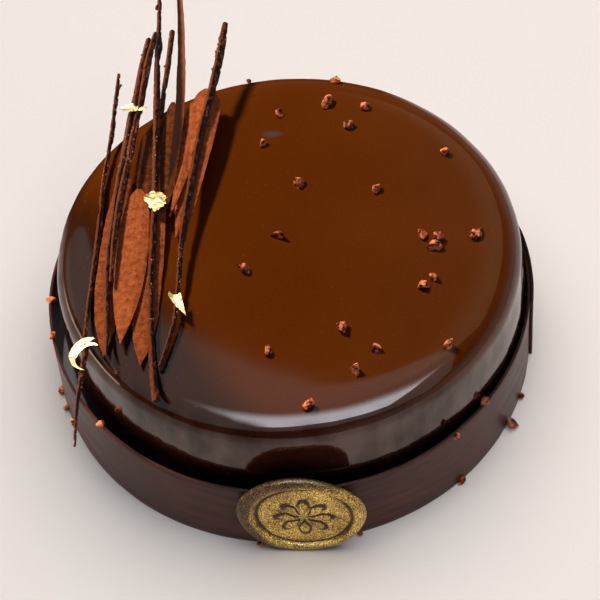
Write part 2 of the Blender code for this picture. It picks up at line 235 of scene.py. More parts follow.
def smooth(piece, angle=40):
    """Shades the piece smooth, with edges sharper than the angle kept crisp."""
    pick(piece)
    bpy.ops.object.shade_smooth_by_angle(angle=math.radians(angle))


def turn_on_wheel(name, profile, steps):
    """Draws the profile, a list of radius and height, by extruding a point, and spins it round."""
    clear_selection()
    bpy.ops.mesh.primitive_plane_add(size=0.001, location=(0, 0, 0))
    piece = bpy.context.object
    piece.name = name
    bpy.ops.object.mode_set(mode="EDIT")
    bpy.ops.mesh.merge(type="CENTER")
    bpy.ops.transform.translate(value=(profile[0][0], 0, profile[0][1]))
    for (radius, height), (next_radius, next_height) in zip(profile, profile[1:]):
        bpy.ops.mesh.extrude_region_move(
            TRANSFORM_OT_translate={"value": (next_radius - radius, 0, next_height - height)}
        )
    bpy.ops.mesh.select_all(action="SELECT")
    bpy.ops.mesh.spin(steps=steps, angle=math.tau, center=(0, 0, 0), axis=(0, 0, 1))
    bpy.ops.mesh.select_all(action="SELECT")
    bpy.ops.mesh.remove_doubles(threshold=1e-6)
    bpy.ops.mesh.normals_make_consistent(inside=False)
    bpy.ops.object.mode_set(mode="OBJECT")
    return piece


def risen(value, start, over):
    """From 0 at start to 1 once the value has risen this far over it."""
    return min(max((value - start) / over, 0), 1)


def glaze_height(radius):
    """The height of the glaze over the table at this distance from the axis."""
    crown = CAKE_HEIGHT - CROWN_DROP * min(radius / (CAKE_RADIUS - SHOULDER), 1) ** 4
    if radius <= ROLL_START:
        return crown
    share = min((radius - ROLL_START) / (CAKE_RADIUS - ROLL_START), 1)
    return crown - SHOULDER * (1 - math.sqrt(1 - share**ROLL_POWER))


def cake_profile():
    """From the middle of the top, over the edge and down the side to the middle of the base."""
    top = [0.0, 0.01, 0.02, 0.03, 0.04, 0.048, 0.054, 0.058, 0.062]
    top += [0.062 + 0.001 * step for step in range(1, 13)]
    points = [(radius, glaze_height(radius)) for radius in top]
    level = CAKE_HEIGHT - CROWN_DROP - SHOULDER
    for step in range(1, 15):
        share = math.cos(math.radians(90 * (14 - step) / 14 * 0.55))
        radius = 0.074 + (CAKE_RADIUS - 0.074) * (share - math.cos(math.radians(49.5))) / (
            1 - math.cos(math.radians(49.5)))
        points.append((radius, glaze_height(radius)))
    points += [(CAKE_RADIUS, level - 0.0028 * step) for step in range(1, 17)]
    points += [(CAKE_RADIUS, FOOT), (CAKE_RADIUS - FOOT, 0), (0.03, 0), (0, 0)]
    return points


glazed_cake = turn_on_wheel("glazed_cake", cake_profile(), 288)
for vert in glazed_cake.data.vertices:
    reach = math.hypot(vert.co.x, vert.co.y)
    if reach < 0.066:
        continue
    slow = noise.noise(Vector((vert.co.x, vert.co.y, vert.co.z * 0.35)) * 38)
    runs = noise.noise(Vector((vert.co.x, vert.co.y, vert.co.z * 0.30)) * 85)
    quick = noise.noise(Vector((vert.co.x, vert.co.y, vert.co.z * 0.45)) * 190)
    on_edge = risen(reach, 0.066, 0.012)
    waves = SLOW_WAVES * (slow + 0.2) + RUNNING_WAVES * (runs + 0.2) + FINE_WAVES * quick
    lean = SIDE_LEAN * risen(vert.co.z, 0.031, 0.019) * on_edge
    lean -= FULLER_RIGHT * risen(vert.co.x, 0.05, 0.025) * risen(0.048 - vert.co.z, 0, 0.008)
    squeeze = 1 - lean - on_edge * risen(vert.co.z, 0.024, 0.012) * waves
    vert.co.x *= squeeze
    vert.co.y *= squeeze
smooth(glazed_cake, 60)


def mottling(tree, place, scale, detail=2.0, roughness=0.5):
    """A cloudy pattern of this scale."""
    inputs = {"Vector": place, "Scale": scale, "Detail": detail, "Roughness": roughness}
    return add_node(tree, "TexNoise", inputs)["Fac"]


def colour_ramp(tree, value, *stops):
    """Colours the value by these stops, each a position and a colour, in their order."""
    node = tree.nodes.new("ShaderNodeValToRGB")
    tree.links.new(value, node.inputs["Fac"])
    ends = node.color_ramp.elements
    for end, (position, colour) in zip(ends, (stops[0], stops[-1])):
        end.position = position
        end.color = (*colour, 1)
    for position, colour in stops[1:-1]:
        ends.new(position).color = (*colour, 1)
    return node.outputs["Color"]


def laid_over(tree, share, under, over):
    """Lays one colour over another by this share."""
    return add_node(tree, "Mix", {"Factor": share, "A": under, "B": over}, data_type="RGBA")["Result"]


mirror_glaze, tree, shader = new_finish("mirror_glaze", 0.07)
shader.inputs["IOR"].default_value = 1.5
place = add_node(tree, "TexCoord", {})["Object"]
cloud = mottling(tree, place, 22, 3)
depth = colour_ramp(tree, cloud, (0.35, (0.100, 0.0196, 0.0011)), (0.65, (0.113, 0.0235, 0.0017)))
levels = add_node(tree, "SeparateXYZ", {"Vector": place})
# The side is painted darker than the top, as painted shade; on the right the lighter top colour reaches a
# little lower, as painted light.
painted_light_right = graded(tree, levels["X"], 0.02, 0.065, high=0.005)
on_top_not_side = graded(tree, worked_out(tree, "ADD", levels["Z"], painted_light_right), 0.0540, 0.0582)
# Over the roll at the left and front left, the top colour gives way to a much darker brown, as painted shade.
towards_front = add_node(tree, "VectorMath", {1: (0.9, 0.45, 0), 0: place}, operation="DOT_PRODUCT")
left_shade_mask = graded(tree, towards_front["Value"], -0.058, -0.038, low=0.12)
painted_left_shade = laid_over(tree, left_shade_mask, (0.028, 0.0065, 0.0012, 1), depth)
down_the_side = add_node(tree, "Mapping", {"Scale": (95, 95, 45), "Vector": place})
run_marks = mottling(tree, down_the_side["Vector"], 1, 4)
# The side's run marks are drawn in a much darker brown than the top, as painted shade.
side_runs_and_shade = colour_ramp(tree, run_marks, (0.38, (0.031, 0.0076, 0.0034)), (0.68, (0.056, 0.0138, 0.0062)))
# Low on the side, just above and inside the band, the side turns near black, as painted shade in the gap.
clear_of_gap_shade = graded(tree, levels["Z"], 0.030, 0.040, low=0.12)
shaded = laid_over(tree, clear_of_gap_shade, (0.004, 0.0015, 0.0008, 1), side_runs_and_shade)
coated = laid_over(tree, on_top_not_side, shaded, painted_left_shade)
bubbles = add_node(tree, "TexVoronoi", {"Scale": 330, "Vector": place})
fine = graded(tree, bubbles["Distance"], 0.05, 0.09, low=0.30, high=0.0, ease="LINEAR")
specked = laid_over(tree, fine, coated, (0.30, 0.13, 0.05, 1))
# A small grey oval on the top towards the back is a painted reflection of a shallow dent in the glaze.
dent_reflection_frame = {
    "Location": (-0.0017, 0.0476, 0.0589), "Rotation": (0, 0, -0.09), "Scale": (0.0050, 0.0021, 0.01)
}
pulled = add_node(tree, "Mapping", {**dent_reflection_frame, "Vector": place}, vector_type="TEXTURE")
out_of_dent_reflection = add_node(tree, "VectorMath", {0: pulled["Vector"]}, operation="LENGTH")
painted_dent_reflection = graded(tree, out_of_dent_reflection["Value"], 1.0, 0.10, high=0.85)
with_dent_reflection = laid_over(tree, painted_dent_reflection, specked, (0.065, 0.058, 0.050, 1))
tree.links.new(with_dent_reflection, shader.inputs["Base Color"])
shader.inputs["Specular Tint"].default_value = (1.0, 0.74, 0.62, 1)
towards_back = add_node(tree, "VectorMath", {1: (-0.35, 0.94, 0), 0: place}, operation="DOT_PRODUCT")
far_side = graded(tree, towards_back["Value"], 0.010, 0.048)
rim_height = graded(tree, levels["Z"], 0.0587, 0.0575)
far_rim = worked_out(tree, "MULTIPLY", far_side, rim_height)
gloss = graded(tree, far_rim, 0.0, 1.0, low=0.56, high=0.0, ease="LINEAR")
patches = graded(tree, run_marks, 0.36, 0.64, low=0.50, high=1.45, ease="LINEAR")
even_on_top = add_node(tree, "Mix", {"Factor": on_top_not_side, "A": patches, "B": 1.0})
sheen = worked_out(tree, "MULTIPLY", gloss, even_on_top["Result"])
tree.links.new(sheen, shader.inputs["Specular IOR Level"])
ripple_place = add_node(tree, "Mapping", {"Scale": (150, 150, 90), "Vector": place})
ripple = mottling(tree, ripple_place["Vector"], 1, 3)
on_side = graded(tree, levels["Z"], 0.056, 0.050, high=0.28, ease="LINEAR")
rippled = add_node(tree, "Bump", {"Distance": 0.0006, "Strength": on_side, "Height": ripple})
tree.links.new(rippled["Normal"], shader.inputs["Normal"])
glazed_cake.data.materials.append(mirror_glaze)
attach(glazed_cake, "root")
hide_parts("cake")


# Cocoa nibs: roasted, cracked beans. Each is a hard angular chip with broken faces, in red-brown with
# paler shards of husk, dropped on the glaze while it sets.

NIB_SIZE = 0.0036
GLAZE_NIBS = (
    (22.3, 71.5), (18.6, 58.8), (31.5, 56.2), (25.8, 48.3), (1.4, 56.7), (-5.2, 43.3), (57.3, 31.2),
    (5.9, 22.9), (32.4, 17.8), (-3.0, 1.1), (-15.0, -12.6), (45.9, -4.9), (50.4, -6.3), (48.3, -10.3),
    (64.0, -6.3), (47.2, -22.9), (43.9, -26.4), (15.4, -41.8), (-9.7, -47.5), (25.1, -50.8),
    (18.1, -58.9), (49.0, -51.5), (1.7, -69.7),
)
SMALL_GLAZE_NIBS = ((-8.2, 76.0), (-59.9, -47.7))


def join_up(pieces, name):
    """Joins the pieces into one and names it."""
    clear_selection()
    for piece in pieces:
        piece.select_set(True)
    bpy.context.view_layer.objects.active = pieces[0]
    bpy.ops.object.join()
    pieces[0].name = name
    return pieces[0]


def cracked_nib(place, size, dice):
    """One chip: a lump broken down by flat cracks into a shard, with its edges worn a little."""
    clear_selection()
    bpy.ops.mesh.primitive_ico_sphere_add(subdivisions=2, radius=size * 0.60, location=(0, 0, 0))
    nib = bpy.context.object
    turn = Euler([dice.uniform(-0.5, 0.5), dice.uniform(-0.5, 0.5), dice.uniform(0, math.tau)]).to_matrix()
    long, broad, thick = dice.uniform(1.05, 1.5), dice.uniform(0.62, 1.0), dice.uniform(0.62, 0.9)
    for vert in nib.data.vertices:
        vert.co = turn @ Vector((vert.co.x * long, vert.co.y * broad, vert.co.z * thick))
    bpy.ops.object.mode_set(mode="EDIT")
    for _ in range(dice.choice((6, 7, 8))):
        way = Vector([dice.gauss(0, 1), dice.gauss(0, 1), dice.gauss(0.2, 0.8)]).normalized()
        bpy.ops.mesh.select_all(action="SELECT")
        bpy.ops.mesh.bisect(
            plane_co=way * size * dice.uniform(0.20, 0.44), plane_no=way, use_fill=True, clear_outer=True
        )
    bpy.ops.mesh.select_all(action="SELECT")
    bpy.ops.mesh.remove_doubles(threshold=size * 0.04)
    bpy.ops.mesh.quads_convert_to_tris()
    bpy.ops.mesh.subdivide(number_cuts=1)
    bpy.ops.mesh.normals_make_consistent(inside=False)
    bpy.ops.object.mode_set(mode="OBJECT")
    for vert in nib.data.vertices:
        rough = noise.noise_vector((vert.co + place) * 1300) * size * 0.045
        vert.co += rough + place
    return nib


dice = random.Random(7)
chips = []
for x, y in GLAZE_NIBS + SMALL_GLAZE_NIBS:
    size = NIB_SIZE * (0.55 if (x, y) in SMALL_GLAZE_NIBS else dice.uniform(1.0, 1.25))
    lying = Vector((x * 0.001, y * 0.001, glaze_height(math.hypot(x, y) * 0.001) + 0.28 * size))
    chips.append(cracked_nib(lying, size, dice))
glaze_nibs = join_up(chips, "glaze_nibs")
smooth(glaze_nibs, 18)

cocoa_nib, tree, shader = new_finish("cocoa_nib", 0.5)
shader.inputs["Specular IOR Level"].default_value = 0.08
place = add_node(tree, "TexCoord", {})["Object"]
husk = mottling(tree, place, 520, 3)
shell = colour_ramp(
    tree, husk, (0.37, (0.024, 0.006, 0.003)), (0.47, (0.36, 0.075, 0.028)), (0.58, (0.95, 0.29, 0.11))
)
tree.links.new(shell, shader.inputs["Base Color"])
glaze_nibs.data.materials.append(cocoa_nib)
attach(glaze_nibs, "root")
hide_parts("cake")


# The chocolate band: dark chocolate spread thin on a strip, bent round the cake while soft and set. Its
# upper edge is cut by hand, and its free end laps over its start on the right.

BAND_RADIUS = 0.0838
BAND_HEIGHT = 0.0306
BAND_WALL = 0.001
BAND_SHIFT = Vector((-0.00125, 0, 0))
BAND_START, BAND_END = 8, -370
LAP_GAP = 0.0002


def band_radius(degrees):
    """The outer face's distance from the band's own centre, with its slow waves and its lap."""
    turn = math.radians(degrees)
    waves = 0.00025 * math.sin(3 * turn + 0.6) + 0.00015 * math.sin(5 * turn)
    return BAND_RADIUS + waves + risen(-335 - degrees, 0, 14) * (BAND_WALL + LAP_GAP)


def band_top(degrees):
    """The height of the hand-cut upper edge."""
    turn = math.radians(degrees)
    cut = 0.0003 * math.sin(2 * turn + 1) + 0.0002 * math.sin(7 * turn)
    nick = 0.00022 * noise.noise(Vector((turn * 14, 1.5, 0)))
    nick += 0.00012 * noise.noise(Vector((turn * 60, 4, 0)))
    return BAND_HEIGHT + cut + nick


clear_selection()
bpy.ops.mesh.primitive_grid_add(x_subdivisions=756, y_subdivisions=14, size=2, location=(0, 0, 0))
band = bpy.context.object
band.name = "bent_band"
for vert in band.data.vertices:
    degrees = BAND_START + (BAND_END - BAND_START) * (vert.co.x + 1) / 2
    turn, up = math.radians(degrees), (vert.co.y + 1) / 2
    radius = band_radius(degrees) + 0.00008 * noise.noise(Vector((turn * 9, up * 3, 2)))
    height = 0.00004 + (band_top(degrees) - 0.00004) * up
    vert.co = Vector((radius * math.cos(turn), radius * math.sin(turn), height)) + BAND_SHIFT
wall = band.modifiers.new("wall", "SOLIDIFY")
wall.thickness = BAND_WALL
wall.offset = 1
rounding = band.modifiers.new("rounding", "BEVEL")
rounding.width = 0.00018
rounding.segments = 2
rounding.angle_limit = math.radians(50)
finish_modifiers(band)
smooth(band, 50)

band_chocolate, tree, shader = new_finish("band_chocolate", 0.36)
shader.inputs["Specular IOR Level"].default_value = 0.14
place = add_node(tree, "TexCoord", {})["Object"]
drawn = add_node(tree, "Mapping", {"Scale": (60, 60, 420), "Vector": place})
streaks = mottling(tree, drawn["Vector"], 1, 5)
tone = colour_ramp(tree, streaks, (0.3, (0.048, 0.0140, 0.0088)), (0.75, (0.125, 0.040, 0.025)))
tree.links.new(tone, shader.inputs["Base Color"])
dull = graded(tree, streaks, 0.3, 0.7, low=0.28, high=0.46, ease="LINEAR")
tree.links.new(dull, shader.inputs["Roughness"])
relief = add_node(tree, "Bump", {"Strength": 0.25, "Distance": 0.0002, "Height": streaks})
tree.links.new(relief["Normal"], shader.inputs["Normal"])
band.data.materials.append(band_chocolate)
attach(band, "root")
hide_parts("chocolate_band")

# Nibs that fell on the band: each has its direction from the middle in degrees, its height, how far it
# stands proud of the band's outer face, and its size, in millimetres. Some lie at the band's foot.

BAND_NIBS = (
    (176.4, 31.3, -0.9, 3.0), (187.1, 31.3, -0.6, 3.2), (216.5, 31.4, -0.7, 3.4), (318.6, 31.1, -0.6, 3.4),
    (328.4, 2.2, 1.2, 4.4), (336.8, 1.4, 0.6, 2.2), (308.8, 1.4, 0.6, 2.4),
    (188.2, 2.0, 0.6, 3.6), (193.3, 1.7, 0.6, 3.0), (198.1, 1.4, 0.5, 2.4), (258.2, 1.2, 1.0, 2.9),
    (281.0, 1.1, 0.8, 2.0),
)
dice = random.Random(11)
chips = []
for degrees, height, proud, size in BAND_NIBS:
    radius, turn = band_radius(degrees - 360) + proud * 0.001, math.radians(degrees)
    lying = Vector((radius * math.cos(turn), radius * math.sin(turn), height * 0.001)) + BAND_SHIFT
    nib = cracked_nib(lying, size * 0.001, dice)
    lowest = min(vert.co.z for vert in nib.data.vertices)
    for vert in nib.data.vertices:
        vert.co.z += max(0.00005 - lowest, 0)
    chips.append(nib)
# One long splinter stands upright against the band's outer face.
radius, turn = band_radius(-52.7) + 0.0004, math.radians(307.3)
lying = Vector((radius * math.cos(turn), radius * math.sin(turn), 0.0290)) + BAND_SHIFT
splinter = cracked_nib(lying, 0.0048, dice)
for vert in splinter.data.vertices:
    from_middle = vert.co - lying
    vert.co = lying + Vector((from_middle.x * 0.42, from_middle.y * 0.42, from_middle.z * 1.35))
chips.append(splinter)
band_nibs = join_up(chips, "band_nibs")
smooth(band_nibs, 18)
band_nibs.data.materials.append(cocoa_nib)
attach(band_nibs, "root")
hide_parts("chocolate_band")


# The seal: a button of dark chocolate pressed with a cold stamp, so that a soft rim stands round a flat
# field with an eight-petalled rosette. Gold powder is brushed over it, and the dark shows where it is thin.

SEAL_WIDTH, SEAL_HEIGHT, SEAL_THICKNESS = 0.043, 0.0412, 0.0031
SEAL_AHEAD, SEAL_ASIDE, SEAL_TURN = 0.0844, 0.0076, -7
SEAL_STAMP_RADIUS = 0.0162
SEAL_STAMP_SHIFT = Vector((0.0011, 0, -0.0004))
STAMP_SHARE = 2 * SEAL_STAMP_RADIUS / SEAL_WIDTH
FIELD_DEPTH = 0.68
ROSETTE_RELIEF = 0.0005


def petals(across, up):
    """How far the rosette stands out of the field here, from 0 to 1."""
    reach = math.hypot(across, up) / SEAL_STAMP_RADIUS
    inside = 0.72 * abs(math.cos(4 * math.atan2(up, across))) - abs(reach - 0.36) / 0.42
    return min(max(3 * inside, 0), 1)


def seal_point(share, turn, depth):
    """Where a point of the turned disc lies on the seal, whose rim is oval round a round field."""
    outwards = risen(share, STAMP_SHARE, 0.9 - STAMP_SHARE)
    uneven = 1 + 0.012 * math.sin(3 * turn + 1) + 0.010 * math.sin(5 * turn)
    across = share * math.cos(turn) * SEAL_WIDTH / 2 * uneven
    squeeze = 1 + (SEAL_HEIGHT / SEAL_WIDTH - 1) * outwards
    up = share * math.sin(turn) * SEAL_WIDTH / 2 * squeeze * uneven
    relief = ROSETTE_RELIEF * petals(across, up) if abs(depth - FIELD_DEPTH) < 0.01 else 0
    return Vector((across, -SEAL_THICKNESS * depth - relief, up)) + SEAL_STAMP_SHIFT * (1 - outwards)


profile = [(0.9 * STAMP_SHARE * step / 44, FIELD_DEPTH) for step in range(45)]
profile += [(0.93 * STAMP_SHARE, FIELD_DEPTH), (0.955 * STAMP_SHARE, 0.57), (0.98 * STAMP_SHARE, 0.52)]
profile += [(1.005 * STAMP_SHARE, 0.57), (1.03 * STAMP_SHARE, 0.78), (1.06 * STAMP_SHARE, 0.92)]
profile += [(0.83, 0.985), (0.86, 1.0), (0.9, 1.0), (0.94, 0.94), (0.97, 0.84), (0.99, 0.68), (1.0, 0.5)]
profile += [(0.99, 0.3), (0.97, 0.14), (0.95, 0.04), (0.93, 0), (0.5, 0), (0, 0)]
seal = turn_on_wheel("stamped_seal", profile, 224)
for vert in seal.data.vertices:
    vert.co = seal_point(math.hypot(vert.co.x, vert.co.y), math.atan2(vert.co.y, vert.co.x), vert.co.z)
lowest = min(vert.co.z for vert in seal.data.vertices)
seal_turn = Euler((0, 0, math.radians(SEAL_TURN))).to_matrix()
fields = []
for vert in seal.data.vertices:
    flat = vert.co - SEAL_STAMP_SHIFT
    reach = math.hypot(flat.x, flat.z) / SEAL_STAMP_RADIUS
    raised = petals(flat.x, flat.z)
    outline = 1 - min(4 * raised * (1 - raised), 1) * (reach < 0.85)
    groove = min(abs(reach - 0.98) / 0.05, 1)
    upper_rim = 1 - 0.65 * risen(reach, 1.08, 0.1) * risen(flat.z - 1.6 * flat.x, -0.006, 0.02)
    # The back of the seal gets no gold: it is bare chocolate, held at the darkest tone as painted shade.
    dusted = min(outline, groove) * upper_rim * (vert.co.y <= -0.0006)
    lump = noise.noise(vert.co * 260) * 0.00016 + noise.noise(vert.co * 900) * 0.00005
    vert.co.y += lump * (1 if vert.co.y < -0.0005 else 0)
    vert.co = seal_turn @ (vert.co + Vector((SEAL_ASIDE, -SEAL_AHEAD, -lowest))) + BAND_SHIFT
    fields.append(dusted)
gilt_and_back_shade = seal.data.attributes.new("gilt_and_back_shade", "FLOAT", "POINT")
for index, dusted in enumerate(fields):
    gilt_and_back_shade.data[index].value = dusted
pick(seal)
bpy.ops.object.mode_set(mode="EDIT")
bpy.ops.mesh.select_all(action="SELECT")
bpy.ops.mesh.normals_make_consistent(inside=False)
bpy.ops.object.mode_set(mode="OBJECT")
smooth(seal, 60)

gold_dust, tree, shader = new_finish("gold_dusted_chocolate", 0.4, 0.6)
place = add_node(tree, "TexCoord", {})["Object"]
grains = mottling(tree, place, 2600, 2)
brushing = mottling(tree, place, 140, 4)
together = add_node(tree, "Mix", {"Factor": 0.24, "A": grains, "B": brushing})
brushed = add_node(tree, "Attribute", {}, attribute_name="gilt_and_back_shade")
# Where no gold lies the tone drops to near black; on the back of the seal this is partly painted shade.
cover = graded(tree, brushed["Fac"], 0.0, 1.0, low=-0.23, high=0.0, ease="LINEAR")
lain = worked_out(tree, "ADD", together["Result"], cover)
gilding = colour_ramp(
    tree, lain, (0.34, (0.022, 0.009, 0.005)), (0.50, (0.27, 0.145, 0.026)), (0.585, (1.0, 0.66, 0.16))
)
tree.links.new(gilding, shader.inputs["Base Color"])
relief = add_node(tree, "Bump", {"Strength": 0.6, "Distance": 0.00015, "Height": grains})
tree.links.new(relief["Normal"], shader.inputs["Normal"])
seal.data.materials.append(gold_dust)
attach(seal, "root")
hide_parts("seal")


# The feathers: milk chocolate drawn off the point of a knife, so that each leaf has a ridge, thin uneven
# edges and fine drag lines. They are dusted with cocoa and overlap like a fan.

FEATHER_THICKNESS, FEATHER_EDGE = 0.0013, 0.35
# Tip, middle of the spine and crown, each as x, y and height; width; where the ridge runs, from -1 at the
# left edge to 1; how far along it is widest; and how bluntly it widens. Places and width in millimetres.
FEATHERS = {
    "feather_1": ((-63.8, -42.5, 59.6), (-59.5, -7.9, 62.1), (-53.2, 32.8, 63.7), 10.4, 0.1, 0.55, 2.8),
    "feather_2": ((-57.8, -40.6, 62.6), (-53.1, -7.8, 64.1), (-48.9, 22.7, 65.7), 11.2, 0.45, 0.6, 2.6),
    "feather_3": ((-51.6, -48.7, 60.8), (-46.9, -11.0, 62.0), (-41.2, 20.7, 64.2), 9.0, -0.1, 0.3, 2.4),
    "feather_4": ((-40.9, 14.1, 61.9), (-38.0, 36.8, 63.2), (-35.4, 62.7, 64.4), 7.6, -0.3, 0.6, 2.0),
    "feather_5": ((-39.1, 10.9, 63.8), (-32.4, 35.8, 64.5), (-28.9, 60.6, 65.4), 5.6, 0.0, 0.7, 1.8),
    "feather_6": ((-34.5, -1.1, 64.2), (-27.9, 32.3, 66.8), (-22.8, 63.7, 68.6), 11.0, 0.2, 0.85, 1.1),
    "feather_7": ((-47.1, 10.2, 61.0), (-46.5, 32.1, 61.8), (-44.6, 51.1, 62.8), 7.2, 0.1, 0.6, 2.4),
    "feather_8": ((-37.5, 3.4, 61.4), (-34.3, 21.4, 61.9), (-31.0, 41.2, 62.4), 5.0, 0.0, 0.6, 1.8),
}


def spine_point(tip, middle, crown, along):
    """The point that lies this share of the way along a smooth curve through the three points."""
    pull = 2 * middle - (tip + crown) / 2
    return tip * (1 - along) ** 2 + pull * 2 * along * (1 - along) + crown * along**2


def feather_share(along, widest, bluntness):
    """The width at this share of the length, pointed at 0 and round at 1, as a share of the widest."""
    if along < widest:
        return max(1 - (1 - along / widest) ** bluntness, 0.06)
    return max(math.sqrt(1 - ((along - widest) / (1 - widest)) ** 2), 0.16)


def drawn_leaf(name, spine, share_of, arch, cells, ragged):
    """A grid drawn out along the spine, arched over its ridge, with a wavering edge and a thin wall."""
    tip, middle, crown = (Vector(point) * 0.001 for point in spine[:3])
    half, ridge = spine[3] * 0.0005, spine[4]
    clear_selection()
    bpy.ops.mesh.primitive_grid_add(
        x_subdivisions=cells[0], y_subdivisions=cells[1], size=2, location=(0, 0, 0)
    )
    leaf = bpy.context.object
    leaf.name = name
    weights = []
    for vert in leaf.data.vertices:
        along, side = (vert.co.x + 1) / 2, -vert.co.y
        on_spine = spine_point(tip, middle, crown, along)
        ahead = spine_point(tip, middle, crown, along + 0.01) - spine_point(tip, middle, crown, along - 0.01)
        across = Vector((ahead.y, -ahead.x, 0)).normalized()
        share = share_of(along, *spine[5:])
        waver = noise.noise(Vector((along * 9, 3 * (side > ridge), tip.x * 900)))
        waver += 0.6 * noise.noise(Vector((along * 34, 7 * (side > ridge), tip.x * 900)))
        width = half * share * (1 - ragged * (0.5 + waver) * min(abs(side), 1))
        off_ridge = abs(side - ridge) / (1 - ridge if side > ridge else 1 + ridge)
        fall = arch * share**2 * off_ridge**1.6
        drag = 0.00010 * noise.noise(Vector((along * 5, side * 9, tip.y * 700))) * min(share * 3, 1)
        drag += 0.00005 * noise.noise(Vector((along * 16, side * 30, tip.y * 700))) * min(share * 3, 1)
        vert.co = on_spine + across * side * width + Vector((0, 0, drag - fall))
        weights.append((1 - off_ridge**1.5) * min(share * half / FEATHER_THICKNESS, 1))
    if leaf.data.polygons[0].normal.z < 0:
        leaf.data.flip_normals()
    body = leaf.vertex_groups.new(name="body")
    for index, weight in enumerate(weights):
        body.add([index], weight, "REPLACE")
    wall = leaf.modifiers.new("wall", "SOLIDIFY")
    wall.thickness = FEATHER_THICKNESS
    wall.offset = -1
    wall.vertex_group = body.name
    wall.thickness_vertex_group = FEATHER_EDGE
    finish_modifiers(leaf)
    smooth(leaf, 45)
    return leaf


def dusted_chocolate(name, dark, pale, line_scale):
    """Cocoa-dusted chocolate: drag lines at the leaf's own scale, powdery patches, pits and small drops."""
    made, tree, shader = new_finish(name, 0.78)
    shader.inputs["Specular IOR Level"].default_value = 0.05
    own = add_node(tree, "UVMap", {})
    stretch = add_node(tree, "Mapping", {"Scale": (*line_scale, 1), "Vector": own["UV"]})
    lines = mottling(tree, stretch["Vector"], 1, 5, 0.62)
    place = add_node(tree, "TexCoord", {})["Object"]
    powder = mottling(tree, place, 520, 6, 0.65)
    both = add_node(tree, "Mix", {"Factor": 0.68, "A": lines, "B": powder})
    tone = colour_ramp(tree, both["Result"], (0.38, dark), (0.60, pale))
    drops = add_node(tree, "TexVoronoi", {"Scale": 520, "Vector": place})
    pits = graded(tree, drops["Distance"], 0.08, 0.22, low=0.62, high=0.0)
    # The pits are painted darker than the rest, as painted shade in them.
    pitted = laid_over(tree, pits, tone, (dark[0] * 0.45, dark[1] * 0.40, dark[2] * 0.40, 1))
    tree.links.new(pitted, shader.inputs["Base Color"])
    relief = add_node(tree, "Bump", {"Strength": 0.55, "Distance": 0.0004, "Height": both["Result"]})
    pocks = add_node(
        tree, "Bump", {"Strength": 0.5, "Distance": 0.0003, "Height": pits, "Normal": relief["Normal"]},
        invert=True
    )
    tree.links.new(pocks["Normal"], shader.inputs["Normal"])
    return made


milk_feather = dusted_chocolate("milk_feather", (0.22, 0.040, 0.009), (0.47, 0.116, 0.030), (3, 26))
# feather_4 and feather_7 take a darker copy of the milk finish, as painted shade.
shaded_milk_feather = dusted_chocolate("shaded_milk_feather", (0.060, 0.012, 0.003), (0.19, 0.046, 0.011), (3, 22))
combed_feather = dusted_chocolate("combed_feather", (0.15, 0.026, 0.005), (0.36, 0.086, 0.020), (90, 3))
FINISHES = {
    "feather_1": combed_feather, "feather_3": combed_feather,
    "feather_4": shaded_milk_feather, "feather_7": shaded_milk_feather,
}
for node_name, spine in FEATHERS.items():
    feather = drawn_leaf(node_name.replace("_", "_leaf_"), spine, feather_share, 0.0011, (110, 26), 0.05)
    feather.data.materials.append(FINISHES.get(node_name, milk_feather))
    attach(feather, "root")
    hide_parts(node_name)


# The blade and the twigs: tempered dark chocolate, spread thin and cut into one long splinter, or piped in
# rods on a cold slab. They are lifted off once set, and laid loosely over the feathers.

